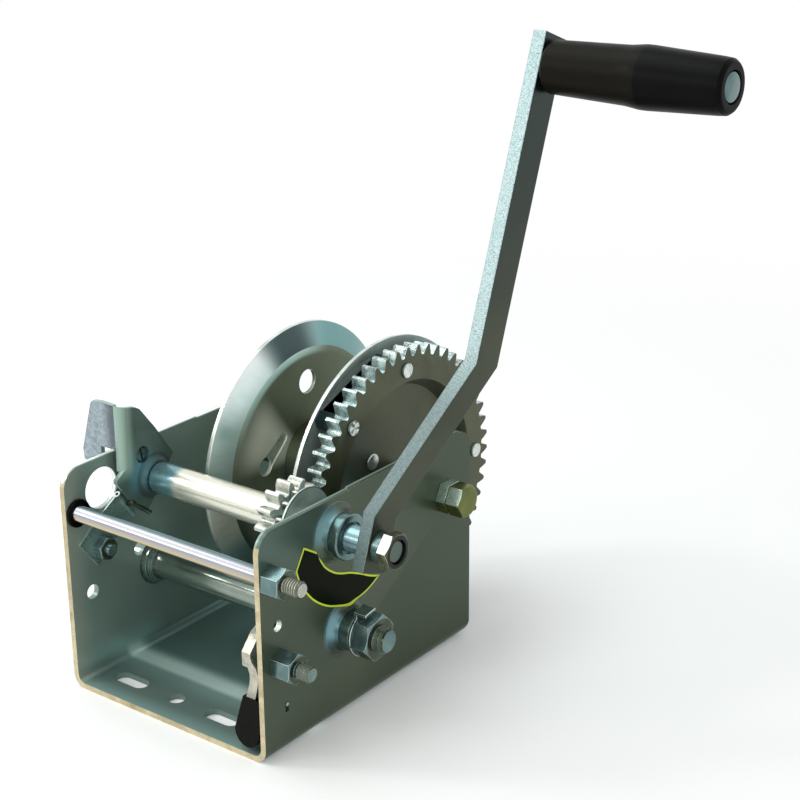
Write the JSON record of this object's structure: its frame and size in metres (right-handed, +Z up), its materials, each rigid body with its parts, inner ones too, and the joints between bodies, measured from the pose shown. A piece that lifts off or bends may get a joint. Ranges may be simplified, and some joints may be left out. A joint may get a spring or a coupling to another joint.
{
  "type": "two-speed hand winch",
  "caption": "Open-frame hand winch: bent U bracket, flanged drum with riveted ring gear, two-speed pinions, pawl, shift-lock lever and a long joggled crank with a black grip.",
  "frame": {"origin": "underside of the base, midway across and midway along the bent frame", "axes": "+X across the side plates toward the crank, +Y toward the rear where the drum stands out, +Z up"},
  "size_m": [0.3489, 0.2555, 0.3839],
  "materials": {
    "zinc_plate": "bright zinc plated sheet, satin, faint green-blue cast",
    "zinc_gear": "zinc plated stamped gear, semi-bright",
    "blasted_zinc": "zinc plated bar with rough rolled edges",
    "bright_rod": "bright zinc, smooth turned",
    "zinc_hardware": "blue-bright zinc plated hardware",
    "yellow_zinc": "yellow passivated zinc",
    "dark_steel": "dark oiled steel",
    "black_grip": "black moulded plastic, satin",
    "black_rubber": "black rubber, matt"
  },
  "bodies": {
    "frame_body": {"frame": "zinc_plate", "tie_rod": "bright_rod", "tie_rod_washer": "black_rubber", "tie_rod_nut": "zinc_hardware", "crank_bushing_right": "zinc_hardware", "crank_bushing_left": "zinc_hardware", "countershaft": "bright_rod", "countershaft_bushing_left": "zinc_hardware", "countershaft_spacer": "zinc_hardware", "countershaft_bushing_right": "zinc_hardware", "countershaft_tab_washer": "zinc_hardware", "countershaft_nut": "zinc_hardware", "drum_axle_bolt": "yellow_zinc", "drum_axle_nut": "yellow_zinc", "drum_axle_lock_nut": "yellow_zinc", "pawl_bolt": "zinc_hardware", "pawl_nut": "zinc_hardware", "leaf_spring": "bright_rod", "leaf_spring_bolt": "zinc_hardware", "leaf_spring_nut": "zinc_hardware"},
    "drum": {"drum_hub": "zinc_hardware", "flange_left": "zinc_plate", "flange_right": "zinc_plate", "ring_gear": "zinc_gear", "gear_rivets": "zinc_hardware"},
    "crank": {"crank_shaft": "bright_rod", "high_pinion": "zinc_gear", "low_pinion": "zinc_gear", "pinion_disc": "dark_steel", "crank_arm": "blasted_zinc", "crank_spacer": "zinc_hardware", "crank_nut": "zinc_hardware", "grip_pin": "zinc_hardware"},
    "handle_grip": {"grip": "black_grip"},
    "lay_cluster": {"countershaft_pinion": "zinc_gear", "countershaft_gear": "zinc_gear"},
    "pawl_body": {"pawl": "zinc_hardware", "pawl_tip": "black_rubber"},
    "shift_lever_body": {"shift_lever": "zinc_plate"}
  },
  "joints": [
    {"name": "drum_spin", "type": "hinge", "parent": "frame_body", "child": "drum", "pos_m": [0, 0.07053, 0.1022], "axis": [1, 0, 0], "continuous": true},
    {"name": "crank_spin", "type": "hinge", "parent": "frame_body", "child": "crank", "pos_m": [0, -0.03255, 0.116], "axis": [1, 0, 0], "continuous": true},
    {"name": "lay_spin", "type": "hinge", "parent": "frame_body", "child": "lay_cluster", "pos_m": [0, -0.02613, 0.05584], "axis": [1, 0, 0], "continuous": true},
    {"name": "grip_spin", "type": "hinge", "parent": "crank", "child": "handle_grip", "pos_m": [0.2, 0.06007, 0.36504], "axis": [1, 0, 0], "continuous": true},
    {"name": "pawl_swing", "type": "hinge", "parent": "frame_body", "child": "pawl_body", "pos_m": [0.0635, -0.0815, 0.0568], "axis": [1, 0, 0], "range_deg": [0, 10]},
    {"name": "lever_lift", "type": "hinge", "parent": "frame_body", "child": "shift_lever_body", "pos_m": [-0.064, -0.03255, 0.116], "axis": [-1, 0, 0], "range_deg": [0, 30]}
  ],
  "couplings": [
    {"joint": "crank_spin", "follows": "drum_spin", "ratio": -4},
    {"joint": "lay_spin", "follows": "drum_spin", "ratio": -3.4667}
  ]
}
